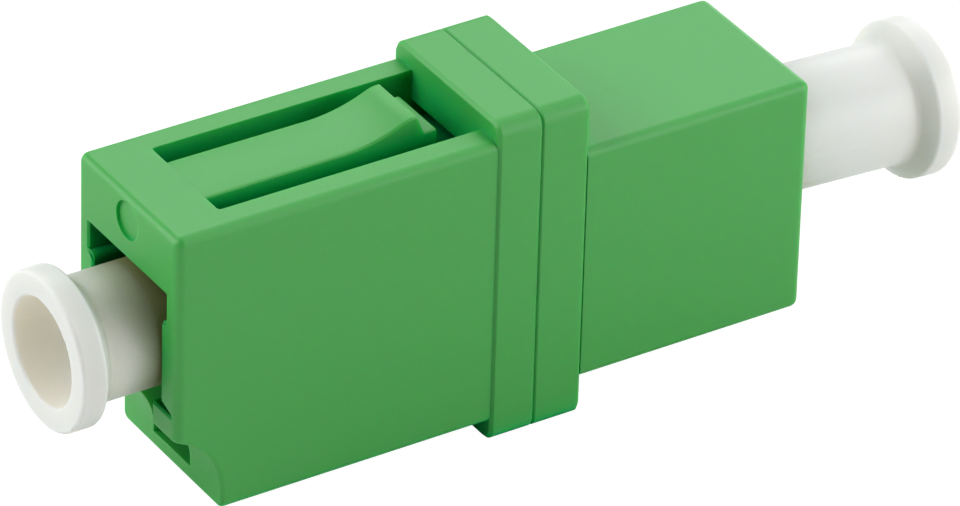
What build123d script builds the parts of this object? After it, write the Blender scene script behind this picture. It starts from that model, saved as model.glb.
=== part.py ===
from build123d import *
import os

os.makedirs("parts", exist_ok=True)

# LC fibre adapter, simplex, for one angled connector on each side.
# Two moulded green housing halves are welded face to face at a collar. They trap a split ceramic
# sleeve that lines up the two ferrules. A tongue in the top face snaps the adapter into a panel,
# and a white dust cap closes each port.
# Millimetres. The origin is the middle of the sleeve, in the weld plane. +X runs along the fibre
# axis to the rear port, Y is across, +Z is up. The ports have their latch side down.

# Front block, the longer one that passes through the panel
front_length = 12.44
front_width = 6.62
front_above_axis = 5.11
front_below_axis = 6.14
front_edge_radius = 0.34

# Rear block
rear_length = 9.09
rear_width = 6.64
rear_above_axis = 3.71
rear_below_axis = 5.48
rear_edge_radius = 0.33

# Collar, one plate on each half
front_plate = 1.74
rear_plate = 1.90
collar_width = 6.78
collar_rise_top = 0.71
collar_rise_bottom = 0.81
collar_corner_radius = 0.55
collar_edge_bevel = 0.12
seam_bevel = 0.07

# Port, seen from outside
plug_opening = 4.56
relief_width = 5.16
relief_top = 2.68
relief_shelf = 1.60
shelf_radius = 0.28
notch_start = -1.68
notch_width = 5.92
notch_foot = -1.92
ledge_top = -2.00
ledge_height = 0.96
ledge_gap = 3.44
ledge_depth = 2.00
catch_width = 5.10
catch_length = 2.40
catch_drop = 0.75
channel_width = 2.45
channel_length = 7.50
channel_skin = 0.59
mouth_bevel = 0.08
web = 2.20

# Finger clearance under the front port
setback = 1.80
setback_radius = 2.50
setback_rise = 0.96
ledge_nose = 1.00
lower_edge_radius = 0.16

# Sleeve and the two barrels that hold it
ferrule_diameter = 1.25
sleeve_wall = 0.185
sleeve_length = 6.80
sleeve_slot = 0.32
sleeve_play = 0.05
end_play = 0.05
barrel_wall = 0.59
barrel_lip = 0.75
lip_diameter = 1.50
lip_taper = 0.06
lip_bevel = 0.22

# Locating pins of the weld face
pin_diameter = 1.00
pin_length = 1.10
pin_play = 0.02
pin_spacing = 4.00
pin_height = -4.40

# Panel latch tongue and its pocket
tongue_land = 2.21
tongue_width = 2.58
tongue_thickness = 1.02
tongue_sink = 0.04
slot_width = 0.92
slot_corner_radius = 0.14
tip_gap = 1.12
under_gap = 0.80
window_step = 0.10
root_gap = 0.06
ridge_height = 0.60
ridge_run = 2.60
ridge_flat = 0.32
crown_radius = 0.60
ridge_radius = 0.22
ridge_fall = 0.30
tip_step = 0.51
tip_drop = 0.12
tip_bevel = 0.07
tip_width = 2.48
tip_corner_radius = 0.08

# Ejector mark on the front face
mark_diameter = 1.42
mark_depth = 0.12
mark_height = 4.16

# Dust caps
cap_play = 0.055
cap_length = 12.20
rim_diameter = 5.72
rim_length = 0.90
rim_radius = 0.14
flare_length = 0.50
flare_radius = 0.30
mouth_diameter = 3.90
mouth_radius = 0.12
cap_wall = 0.42
cup_depth = 6.00
floor_thickness = 0.80
nose_bevel = 0.20
front_cap_out = 3.26
rear_cap_out = 6.86
rear_cap_droop = 3.10
rear_cap_pivot = 6.20

# How far a cutting shape runs on past the surface that it opens
overrun = 1.0

# Places that follow from the sizes
front_face = -front_plate - front_length
rear_face = rear_plate + rear_length
collar_top = front_above_axis + collar_rise_top
collar_bottom = -front_below_axis - collar_rise_bottom
plug_half = plug_opening / 2
ledge_bottom = ledge_top - ledge_height
sleeve_diameter = ferrule_diameter + 2 * sleeve_wall
bore_diameter = sleeve_diameter + 2 * sleeve_play
barrel_diameter = bore_diameter + 2 * barrel_wall
bore_end = sleeve_length / 2 + end_play
barrel_end = bore_end + barrel_lip
pocket_half = tongue_width / 2 + slot_width
tongue_root = front_face + tongue_land
tongue_tip = -front_plate - tip_gap
tongue_top = front_above_axis - tongue_sink
tongue_under = tongue_top - tongue_thickness
pocket_floor = tongue_under - under_gap


def bar(x_from, x_to, half_width, z_from, z_to):
    """A box centred on the fibre axis in Y."""
    middle = Pos((x_from + x_to) / 2, 0, (z_from + z_to) / 2)
    return middle * Box(x_to - x_from, 2 * half_width, z_to - z_from)


def along_x(diameter, x_from, x_to, y=0.0, z=0.0):
    """A round rod parallel to the fibre axis."""
    turn = Rot(0, 90, 0)
    return Pos((x_from + x_to) / 2, y, z) * turn * Cylinder(diameter / 2, x_to - x_from)


def edges_along(solid, axis, test):
    return [edge for edge in solid.edges().filter_by(axis) if test(edge.center())]


def block(collar_x, face_x, width, below, above, radius):
    """A housing block with its long edges and the edges of its free face rounded."""
    solid = bar(min(collar_x, face_x), max(collar_x, face_x), width / 2, -below, above)
    long_edges = list(solid.edges().filter_by(Axis.X))
    face_edges = [edge for edge in solid.edges() if abs(edge.center().X - face_x) < 1e-6]
    return fillet(long_edges + face_edges, radius)


def collar_plate(outer_x):
    """One collar plate, with round corners, broken edges and a bevel that makes half of the seam."""
    plate = bar(min(0, outer_x), max(0, outer_x), collar_width / 2, collar_bottom, collar_top)
    plate = fillet(plate.edges().filter_by(Axis.X), collar_corner_radius)
    outer = [edge for edge in plate.edges() if abs(edge.center().X - outer_x) < 1e-6]
    plate = chamfer(outer, collar_edge_bevel)
    seam = [edge for edge in plate.edges() if abs(edge.center().X) < 1e-6]
    return chamfer(seam, seam_bevel)


def port_outline(channel_floor):
    """The port as seen from outside: relief, plug square, ear notches, ledges and latch channel."""
    half = [
        (0, relief_top),
        (relief_width / 2, relief_top),
        (relief_width / 2, relief_shelf),
        (plug_half, relief_shelf),
        (plug_half, notch_start),
        (notch_width / 2, notch_foot),
        (notch_width / 2, ledge_top),
        (ledge_gap / 2, ledge_top),
        (ledge_gap / 2, ledge_bottom),
        (channel_width / 2, ledge_bottom),
        (channel_width / 2, channel_floor),
        (0, channel_floor),
    ]
    other = [(-y, z) for y, z in reversed(half) if y]
    face = make_face(Polyline(*half, *other, close=True))
    shelf = [
        vertex
        for vertex in face.vertices()
        if abs(abs(vertex.X) - plug_half) < 1e-6 and abs(vertex.Y - relief_shelf) < 1e-6
    ]
    return fillet(shelf, shelf_radius)


def port_space(face_x, inward, below):
    """Everything that the port takes out of a block, from its bevelled mouth to the web."""
    channel_floor = -below + channel_skin
    wall_x = -inward * web

    def span(depth_from, depth_to, half_width, z_from, z_to):
        ends = sorted((face_x + inward * depth_from, face_x + inward * depth_to))
        return bar(*ends, half_width, z_from, z_to)

    depth = abs(wall_x - face_x)
    outline = Plane.YZ.offset(face_x - inward * overrun) * port_outline(channel_floor)
    space = extrude(outline, amount=inward * (overrun + ledge_depth))
    bevelled = Plane.YZ.offset(face_x) * offset(port_outline(channel_floor), mouth_bevel)
    space += extrude(bevelled, amount=inward * mouth_bevel, taper=45)
    space += span(ledge_depth, depth, relief_width / 2, relief_shelf, relief_top)
    space += span(ledge_depth, depth, plug_half, -plug_half, relief_shelf)
    catch_bottom = ledge_top - catch_drop
    space += span(ledge_depth, ledge_depth + catch_length, catch_width / 2, catch_bottom, -plug_half)
    space += span(ledge_depth, channel_length, channel_width / 2, channel_floor, -plug_half)
    return space


def barrel(outward):
    """The tube that holds half of the sleeve, with a bevelled lip at its free end."""
    rod = along_x(barrel_diameter, *sorted((outward * web, outward * barrel_end)))
    return chamfer(
        [edge for edge in rod.edges() if abs(edge.center().X - outward * barrel_end) < 1e-6], lip_bevel / 2
    )


def barrel_bore(outward):
    """The sleeve's seat and the tapered hole in the lip, bevelled to lead a ferrule in."""
    seat = along_x(bore_diameter, *sorted((0, outward * bore_end)))
    narrow = lip_diameter / 2
    reach = barrel_lip + overrun
    lip = Cone(narrow, narrow + lip_taper * reach / barrel_lip, reach)
    lead = Cone(narrow + lip_taper, narrow + lip_taper + lip_bevel, lip_bevel)
    turn = Rot(0, outward * 90, 0)
    lip = Pos(outward * (bore_end + reach / 2), 0, 0) * turn * lip
    lead = Pos(outward * (barrel_end - lip_bevel / 2), 0, 0) * turn * lead
    return seat + lip + lead


def setback_space():
    """What is cut away under the front port: a hollow curve down to the set-back lower face."""
    ahead = front_face - overrun
    under = -front_below_axis - overrun
    foot = (front_face + setback, -front_below_axis + setback_rise)
    lip = (front_face, ledge_bottom + 0.06)
    curve = RadiusArc(lip, foot, setback_radius)
    rest = Polyline(foot, (foot[0], under), (ahead, under), (ahead, lip[1]), lip)
    face = Plane.XZ * make_face(curve + rest)
    return extrude(face, amount=front_width, both=True)


def front_housing():
    solid = block(
        -front_plate, front_face, front_width, front_below_axis, front_above_axis, front_edge_radius
    )
    solid -= setback_space()
    lower = edges_along(
        solid,
        Axis.Z,
        lambda centre: abs(centre.X - front_face - setback) < 1e-3 and abs(centre.Y) > front_width / 4,
    )
    solid = fillet(lower, lower_edge_radius)
    solid += collar_plate(-front_plate)
    solid -= port_space(front_face, 1, front_below_axis)
    nose = front_face + ledge_nose
    solid -= bar(front_face - overrun, nose, ledge_gap / 2, ledge_bottom - ledge_height, ledge_bottom)

    pocket = bar(tongue_root, -front_plate, pocket_half, pocket_floor, front_above_axis + overrun)
    corners = edges_along(pocket, Axis.Z, lambda centre: abs(centre.X - tongue_root) < 1e-6)
    solid -= fillet(corners, slot_corner_radius)
    window_top = tongue_under - window_step
    solid -= bar(-front_plate - tip_gap, overrun, pocket_half, pocket_floor, window_top)
    solid -= along_x(mark_diameter, front_face - overrun, front_face + mark_depth, z=mark_height)

    solid += barrel(-1)
    solid -= barrel_bore(-1)
    for side in (-1, 1):
        solid += along_x(pin_diameter, -pin_length, pin_length, side * pin_spacing / 2, pin_height)
    return solid


def rear_housing():
    solid = block(rear_plate, rear_face, rear_width, rear_below_axis, rear_above_axis, rear_edge_radius)
    solid += collar_plate(rear_plate)
    solid -= port_space(rear_face, -1, rear_below_axis)
    solid += barrel(1)
    solid -= barrel_bore(1)
    hole = pin_diameter + 2 * pin_play
    for side in (-1, 1):
        solid -= along_x(hole, -overrun, pin_length + pin_play, side * pin_spacing / 2, pin_height)
    return solid


def latch_tongue():
    """The sprung tongue: flat, then a hollow ramp up to the ridge that catches the panel's edge."""
    root = tongue_root + root_gap
    catch_foot = tongue_tip - tip_step
    ridge_back = catch_foot - ridge_fall
    ridge_front = ridge_back - ridge_flat
    ramp_start = ridge_front - ridge_run
    ridge_top = tongue_top + ridge_height
    tip_top = tongue_top - tip_drop
    ramp = TangentArc((ramp_start, tongue_top), (ridge_front, ridge_top), tangent=(1, 0))
    rest = Polyline(
        (ridge_front, ridge_top),
        (ridge_back, ridge_top),
        (catch_foot, tip_top),
        (tongue_tip - tip_bevel, tip_top),
        (tongue_tip, tip_top - tip_bevel),
        (tongue_tip, tongue_under),
        (root, tongue_under),
        (root, tongue_top),
        (ramp_start, tongue_top),
    )
    face = make_face(ramp + rest)
    for x, radius in ((ridge_front, crown_radius), (ridge_back, ridge_radius)):
        corner = [vertex for vertex in face.vertices() if abs(vertex.X - x) < 1e-6 and vertex.Y > tongue_top]
        face = fillet(corner, radius)
    solid = extrude(Plane.XZ * face, amount=tongue_width, both=True)
    plan = [
        (root, -tongue_width / 2),
        (tongue_tip, -tip_width / 2),
        (tongue_tip, tip_width / 2),
        (root, tongue_width / 2),
    ]
    plan_face = make_face(Polyline(*plan, close=True))
    corners = [vertex for vertex in plan_face.vertices() if abs(vertex.X - tongue_tip) < 1e-6]
    plan_face = fillet(corners, tip_corner_radius)
    return solid & Pos(0, 0, pocket_floor) * extrude(plan_face, amount=collar_top - pocket_floor)


def alignment_sleeve():
    """A thin split tube; its slot lets it open a little round the two ferrules."""
    tube = along_x(sleeve_diameter, -sleeve_length / 2, sleeve_length / 2)
    tube -= along_x(ferrule_diameter, -sleeve_length, sleeve_length)
    reach = sleeve_diameter
    slot = Pos(0, 0, reach / 2) * Box(2 * sleeve_length, sleeve_slot, reach)
    return tube - slot


def dust_cap():
    """A cap along +X with its rim's outer face at x = 0: rim, flare, tube and a drafted blind cup."""
    outer = (plug_opening - 2 * cap_play) / 2
    rim = rim_diameter / 2
    mouth = mouth_diameter / 2
    inner = outer - cap_wall
    flare_end = rim_length + flare_length
    nose_floor = cup_depth + floor_thickness
    points = [
        (0, mouth),
        (0, rim),
        (rim_length, rim),
        (flare_end, outer),
        (cap_length - nose_bevel, outer),
        (cap_length, outer - nose_bevel),
        (cap_length, inner),
        (nose_floor, inner),
        (nose_floor, 0),
        (cup_depth, 0),
        (cup_depth, inner),
    ]
    face = make_face(Polyline(*points, close=True))
    rim_corners = [vertex for vertex in face.vertices() if abs(vertex.Y - rim) < 1e-6]
    face = fillet(rim_corners, rim_radius)
    flare_corner = [
        vertex
        for vertex in face.vertices()
        if abs(vertex.X - flare_end) < 1e-6 and abs(vertex.Y - outer) < 1e-6
    ]
    face = fillet(flare_corner, flare_radius)
    mouth_corner = [
        vertex for vertex in face.vertices() if abs(vertex.X) < 1e-6 and abs(vertex.Y - mouth) < 1e-6
    ]
    face = fillet(mouth_corner, mouth_radius)
    return revolve(face, Axis.X)


front_cap_place = Pos(front_face - front_cap_out, 0, 0)
rear_cap_place = (
    Pos(rear_cap_pivot, 0, 0)
    * Rot(0, rear_cap_droop, 0)
    * Pos(rear_face + rear_cap_out - rear_cap_pivot, 0, 0)
    * Rot(0, 0, 180)
)

pieces = {
    "front_housing": front_housing(),
    "rear_housing": rear_housing(),
    "panel_latch_tongue": latch_tongue(),
    "alignment_sleeve": alignment_sleeve(),
    "front_dust_cap": front_cap_place * dust_cap(),
    "rear_dust_cap": rear_cap_place * dust_cap(),
}

for name, piece in pieces.items():
    export_step(piece, f"parts/{name}.step")
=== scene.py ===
import bpy
import bmesh
import math
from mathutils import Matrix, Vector


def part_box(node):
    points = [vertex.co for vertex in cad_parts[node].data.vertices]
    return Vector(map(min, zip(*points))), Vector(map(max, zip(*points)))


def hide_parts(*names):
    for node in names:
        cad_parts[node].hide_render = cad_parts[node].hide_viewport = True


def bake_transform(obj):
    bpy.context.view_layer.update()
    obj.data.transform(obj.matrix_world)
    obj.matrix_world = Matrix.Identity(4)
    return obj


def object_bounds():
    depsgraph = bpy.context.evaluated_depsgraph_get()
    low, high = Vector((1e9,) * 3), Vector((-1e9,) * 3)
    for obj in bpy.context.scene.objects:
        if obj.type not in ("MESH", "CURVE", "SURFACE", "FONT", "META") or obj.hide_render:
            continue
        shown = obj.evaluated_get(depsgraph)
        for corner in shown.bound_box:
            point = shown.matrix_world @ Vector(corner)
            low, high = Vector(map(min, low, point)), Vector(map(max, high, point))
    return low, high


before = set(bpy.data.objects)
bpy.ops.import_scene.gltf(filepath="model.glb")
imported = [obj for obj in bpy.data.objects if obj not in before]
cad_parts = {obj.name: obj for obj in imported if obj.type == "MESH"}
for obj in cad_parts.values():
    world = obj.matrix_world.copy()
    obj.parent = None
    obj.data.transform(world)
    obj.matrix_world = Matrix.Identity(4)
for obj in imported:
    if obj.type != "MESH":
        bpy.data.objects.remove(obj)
cad_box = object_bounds()

# The two housing halves, moulded in green PBT in a finely eroded tool. The material is satin, with
# every edge a little soft. Light scatters a short way into the plastic. In the slots, ports and other
# hollows the base colour is painted deeper and colder green by an occlusion mask, and the sheen is
# faded there: painted shade, standing in for the shade and green bounce light of the hollows.
mm = 0.001
eroded_grain = 0.045 * mm
grain_depth = 0.01 * mm
edge_softness = 0.06 * mm
hollow_reach = 2.6 * mm
scatter_reach = 0.7 * mm
# painted shade and painted bounce light colours for the hollows, set by occlusion; open_green is the
# plastic's own colour
painted_shade_green = "002A1A"
painted_bounce_green = "00B45A"
open_green = "3AA244"


def linear(code):
    """A six-digit sRGB colour as the linear colour that shaders take."""
    parts = [int(code[i : i + 2], 16) / 255 for i in (0, 2, 4)]
    return [c / 12.92 if c <= 0.04045 else ((c + 0.055) / 1.055) ** 2.4 for c in parts] + [1]


def add(tree, kind, links=None, **settings):
    """Adds a node. Settings are its attributes, or its inputs by name with spaces as underscores."""
    node = tree.nodes.new(kind)
    for name, value in settings.items():
        if hasattr(node, name):
            setattr(node, name, value)
        else:
            node.inputs[name.replace("_", " ")].default_value = value
    for name, source in (links or {}).items():
        tree.links.new(source, node.inputs[name])
    return node


def new_tree(owner):
    """The empty node tree of a material or a world."""
    owner.use_nodes = True
    owner.node_tree.nodes.clear()
    return owner.node_tree


def dress(material, *names):
    """Gives a material to solids, by node name."""
    for name in names:
        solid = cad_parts[name]
        solid.data.materials.clear()
        solid.data.materials.append(material)


green = bpy.data.materials.new("moulded_green_pbt")
tree = new_tree(green)
place = add(tree, "ShaderNodeTexCoord")
place_here = {"Vector": place.outputs["Object"]}
grain = add(tree, "ShaderNodeTexNoise", place_here, Scale=1 / eroded_grain, Detail=2.0)
soft_edge = add(tree, "ShaderNodeBevel", samples=6, Radius=edge_softness)
skin_bump = add(
    tree,
    "ShaderNodeBump",
    {"Height": grain.outputs["Fac"], "Normal": soft_edge.outputs["Normal"]},
    Strength=0.08,
    Distance=grain_depth,
)
# painted shade: this occlusion mask turns the base colour deep green in slots, ports and other hollows
hollow_shade_mask = add(tree, "ShaderNodeAmbientOcclusion", samples=8, Distance=hollow_reach)
depth = add(tree, "ShaderNodeMapRange", {"Value": hollow_shade_mask.outputs["AO"]}, From_Min=0.25, From_Max=0.78)
painted_tint = add(tree, "ShaderNodeValToRGB", {"Fac": hollow_shade_mask.outputs["AO"]})
stops = painted_tint.color_ramp.elements
stops[0].position = 0.08
stops[0].color = linear(painted_shade_green)
stops[1].position = 0.74
stops[1].color = linear(open_green)
middle = stops.new(0.28)
middle.color = linear(painted_bounce_green)
# painted shade on the reflection: the sheen fades where the occlusion mask finds hollows
sheen = add(tree, "ShaderNodeMath", {0: depth.outputs["Result"]}, operation="MULTIPLY")
sheen.inputs[1].default_value = 0.5
skin = add(
    tree,
    "ShaderNodeBsdfPrincipled",
    {
        "Base Color": painted_tint.outputs["Color"],
        "Normal": skin_bump.outputs["Normal"],
        "Specular IOR Level": sheen.outputs[0],
    },
    Roughness=0.45,
    IOR=1.57,
    Subsurface_Weight=0.5,
    Subsurface_Radius=(0.03, 1.0, 0.12),
    Subsurface_Scale=scatter_reach,
)
add(tree, "ShaderNodeOutputMaterial", {"Surface": skin.outputs[0]})
dress(green, "front_housing", "rear_housing")

# The panel latch tongue, of one piece with the front housing and of the same green plastic. Its root
# grows out of the top wall's land. Along it come a flat, a hollow ramp, a ridge with
# a steep back, and a short tip.
tongue_low, tongue_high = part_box("panel_latch_tongue")
root_gap = 0.06 * mm
root_overlap = 0.30 * mm
ridge_height = 0.60 * mm
ridge_run = 2.60 * mm
ridge_flat = 0.32 * mm
ridge_fall = 0.30 * mm
ridge_blend = 0.10 * mm
tip_step = 0.51 * mm
tip_drop = 0.12 * mm
tip_half = 1.24 * mm
tip_radius = 0.07 * mm
tip_turns = 5
edge_radius = 0.09 * mm
under_radius = 0.04 * mm
corner_turns = 4
station_pitch = 0.05 * mm
tongue_half = tongue_high.y
tongue_root = tongue_low.x - root_gap
tongue_tip = tongue_high.x
ridge_top = tongue_high.z
flat_top = ridge_top - ridge_height
tip_top = flat_top - tip_drop
ridge_back = tongue_tip - tip_step - ridge_fall
ramp_start = ridge_back - ridge_flat - ridge_run
ramp_radius = (ridge_run**2 + ridge_height**2) / (2 * ridge_height)


def smooth_min(a, b, reach):
    """The lower of two heights, rounded where they cross."""
    share = min(max(0.5 + 0.5 * (b - a) / reach, 0), 1)
    return b + (a - b) * share - reach * share * (1 - share)


def tongue_top(x):
    """Height of the tongue's upper face at a place along it."""
    along = min(max(x - ramp_start, 0), ridge_run + ridge_flat)
    ramp = flat_top + ramp_radius - math.sqrt(ramp_radius**2 - along**2)
    back = ridge_top - (x - ridge_back) * (ridge_top - tip_top) / ridge_fall
    crest = smooth_min(smooth_min(ramp, ridge_top, ridge_blend), back, ridge_blend)
    return max(crest, tip_top)


def tongue_section(half, low, high):
    """One loop round the tongue, with its four corners rounded."""
    loop = []
    corners = (
        (half, high, edge_radius, 0),
        (-half, high, edge_radius, 90),
        (-half, low, under_radius, 180),
        (half, low, under_radius, 270),
    )
    for y, z, radius, start in corners:
        middle_y = y - math.copysign(radius, y)
        middle_z = z - radius if z == high else z + radius
        for step in range(corner_turns + 1):
            turn = math.radians(start + 90 * step / corner_turns)
            loop.append((middle_y + radius * math.cos(turn), middle_z + radius * math.sin(turn)))
    return loop


stations = []
length = tongue_tip - tip_radius - tongue_root + root_overlap
count = round(length / station_pitch)
for i in range(count):
    stations.append((tongue_root - root_overlap + length * i / count, 0.0))
for step in range(tip_turns + 1):
    turn = math.radians(90 * step / tip_turns)
    inset = tip_radius * (1 - math.cos(turn))
    stations.append((tongue_tip - tip_radius + tip_radius * math.sin(turn), inset))

shape = bmesh.new()
rings = []
for x, inset in stations:
    share = min(max((x - tongue_root) / (tongue_tip - tongue_root), 0), 1)
    half = tongue_half + (tip_half - tongue_half) * share - inset
    loop = tongue_section(half, tongue_low.z + inset, tongue_top(x) - inset)
    rings.append([shape.verts.new((x, y, z)) for y, z in loop])
for near, far in zip(rings, rings[1:]):
    for k in range(len(near)):
        shape.faces.new((near[k - 1], near[k], far[k], far[k - 1]))
shape.faces.new(rings[0])
shape.faces.new(rings[-1])
bmesh.ops.recalc_face_normals(shape, faces=shape.faces)
mesh = bpy.data.meshes.new("latch_tongue")
shape.to_mesh(mesh)
shape.free()
for face in mesh.polygons:
    face.use_smooth = len(face.vertices) == 4
mesh.materials.append(green)
tongue = bpy.data.objects.new("latch_tongue", mesh)
bpy.context.scene.collection.objects.link(tongue)
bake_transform(tongue)
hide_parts("panel_latch_tongue")

# The alignment sleeve, split zirconia ceramic, ground and polished.
# It lies inside the housing and shows only deep in a port, once a cap is off.
ceramic = bpy.data.materials.new("ground_zirconia")
tree = new_tree(ceramic)
skin = add(tree, "ShaderNodeBsdfPrincipled", Base_Color=linear("E9E6DC"), Roughness=0.12, IOR=2.15)
add(tree, "ShaderNodeOutputMaterial", {"Surface": skin.outputs[0]})
dress(ceramic, "alignment_sleeve")

# The two dust caps, moulded in white polyethylene, satin. Their thin walls let some light through.
# The bore is painted a brighter, warmer white where the cap's own occlusion finds it: painted light.
# Near the port the outer tube is painted olive where occlusion finds the port: painted shade.
bore_reach = 8 * mm
shade_reach = 2.6 * mm
wall_scatter = 0.9 * mm
outer_white = "DADDDB"
painted_bore_light = "F3F0E7"
shaded_white = "767C4C"
cap_white = bpy.data.materials.new("moulded_white_polyethylene")
tree = new_tree(cap_white)
# painted light: the bore, found by the cap's own occlusion, gets a brighter, warmer white
own_shade = add(tree, "ShaderNodeAmbientOcclusion", samples=8, only_local=True, Distance=bore_reach)
in_bore = add(tree, "ShaderNodeMapRange", {"Value": own_shade.outputs["AO"]}, From_Min=0.85, From_Max=0.55)
# painted shade: where the housing occludes the tube near the port, its white turns olive
all_shade = add(tree, "ShaderNodeAmbientOcclusion", samples=8, Distance=shade_reach)
unshaded = add(tree, "ShaderNodeMapRange", {"Value": all_shade.outputs["AO"]}, From_Min=0.42, From_Max=0.92)
colour_a = 6  # places of a mix node's two colours among its inputs
colour_b = 7
outside = add(tree, "ShaderNodeMix", {"Factor": unshaded.outputs["Result"]}, data_type="RGBA")
outside.inputs[colour_a].default_value = linear(shaded_white)
outside.inputs[colour_b].default_value = linear(outer_white)
painted_tint = add(tree, "ShaderNodeMix", {"Factor": in_bore.outputs["Result"]}, data_type="RGBA")
tree.links.new(outside.outputs[2], painted_tint.inputs[colour_a])
painted_tint.inputs[colour_b].default_value = linear(painted_bore_light)
skin = add(
    tree,
    "ShaderNodeBsdfPrincipled",
    {"Base Color": painted_tint.outputs[2]},
    Roughness=0.42,
    IOR=1.51,
    Subsurface_Weight=0.6,
    Subsurface_Radius=(1.2, 1.0, 0.75),
    Subsurface_Scale=wall_scatter,
)
add(tree, "ShaderNodeOutputMaterial", {"Surface": skin.outputs[0]})
dress(cap_white, "front_dust_cap", "rear_dust_cap")

# The camera looks down on the part from the front left, from about 290 mm away.
# Its place, turn and lens were solved from the block's straight edges.
eye = bpy.data.objects.new("camera", bpy.data.cameras.new("camera"))
bpy.context.scene.collection.objects.link(eye)
eye.location = (-0.134344, -0.206901, 0.156169)
eye.rotation_euler = [math.radians(a) for a in (57.3852, -1.4926, -32.0039)]
eye.data.lens = 320.345
eye.data.sensor_width = 36
eye.data.clip_start = 0.01
eye.data.clip_end = 10
bpy.context.scene.camera = eye
bpy.context.scene.view_settings.view_transform = "Standard"

# The room. The camera sees it at full white, and the part is lit by it only faintly.
# The lamps give the rest of the light.
room_light = 0.06
world = bpy.data.worlds.new("room")
bpy.context.scene.world = world
tree = new_tree(world)
path = add(tree, "ShaderNodeLightPath")
seen = add(tree, "ShaderNodeBackground", Color=(1, 1, 1, 1), Strength=1.0)
lit = add(tree, "ShaderNodeBackground", Color=(1, 1, 1, 1), Strength=room_light)
mix = add(tree, "ShaderNodeMixShader", {"Fac": path.outputs["Is Camera Ray"]})
tree.links.new(lit.outputs[0], mix.inputs[1])
tree.links.new(seen.outputs[0], mix.inputs[2])
add(tree, "ShaderNodeOutputWorld", {"Surface": mix.outputs[0]})

# The table, matt white paper. The camera sees it almost at full white, with a trace of shadow.
# The part stands a hair above it, so that their faces don't share a plane.
table_half = 2.0
table_gap = 0.02 * mm
table_z = cad_box[0][2] - table_gap
paper_hidden = 0.85
glow_strength = 1.16
corners = [(x * table_half, y * table_half, table_z) for x, y in ((-1, -1), (1, -1), (1, 1), (-1, 1))]
mesh = bpy.data.meshes.new("table")
mesh.from_pydata(corners, [], [(0, 1, 2, 3)])
white = bpy.data.materials.new("white_paper")
tree = new_tree(white)
path = add(tree, "ShaderNodeLightPath")
hidden = add(tree, "ShaderNodeMath", {0: path.outputs["Is Camera Ray"]}, operation="MULTIPLY")
hidden.inputs[1].default_value = paper_hidden
paper = add(tree, "ShaderNodeBsdfDiffuse", Color=linear("ECECEA"))
glow = add(tree, "ShaderNodeEmission", Color=(1, 1, 1, 1), Strength=glow_strength)
mix = add(tree, "ShaderNodeMixShader", {"Fac": hidden.outputs[0]})
tree.links.new(paper.outputs[0], mix.inputs[1])
tree.links.new(glow.outputs[0], mix.inputs[2])
add(tree, "ShaderNodeOutputMaterial", {"Surface": mix.outputs[0]})
mesh.materials.append(white)
table = bpy.data.objects.new("table", mesh)
bpy.context.scene.collection.objects.link(table)

# The lamps, nine square soft boxes aimed at the part from above, the sides and behind.
# The one at the right front stands close, so that the side is brighter towards the rear.
far = 0.6
close = 0.16


def softbox(name, towards, watts, distance=far):
    """A square soft lamp that looks at the part from one side. Its size goes with its distance."""
    data = bpy.data.lights.new(name, "AREA")
    data.size = 0.6 * distance
    data.energy = watts
    lamp = bpy.data.objects.new(name, data)
    lamp.location = Vector(towards).normalized() * distance
    lamp.rotation_euler = (-lamp.location).to_track_quat("-Z", "Y").to_euler()
    bpy.context.scene.collection.objects.link(lamp)


softbox("softbox_top_right", (0.5, 0.0, 0.87), 0.7)
softbox("softbox_top_front", (0.46, -0.54, 0.71), 0.7)
softbox("softbox_top_left", (-0.7, 0.2, 0.7), 1.55)
softbox("softbox_top_back", (0.2, 0.7, 0.7), 1.25)
softbox("softbox_right_front", (0.7, -0.7, 0.25), 0.121, close)
softbox("softbox_right", (0.95, -0.3, 0.3), 0.25)
softbox("softbox_right_back", (0.8, 0.6, 0.3), 0.9)
softbox("softbox_left", (-0.95, 0.1, 0.2), 0.55)
softbox("softbox_left_back", (-0.7, 0.7, 0.3), 1.35)
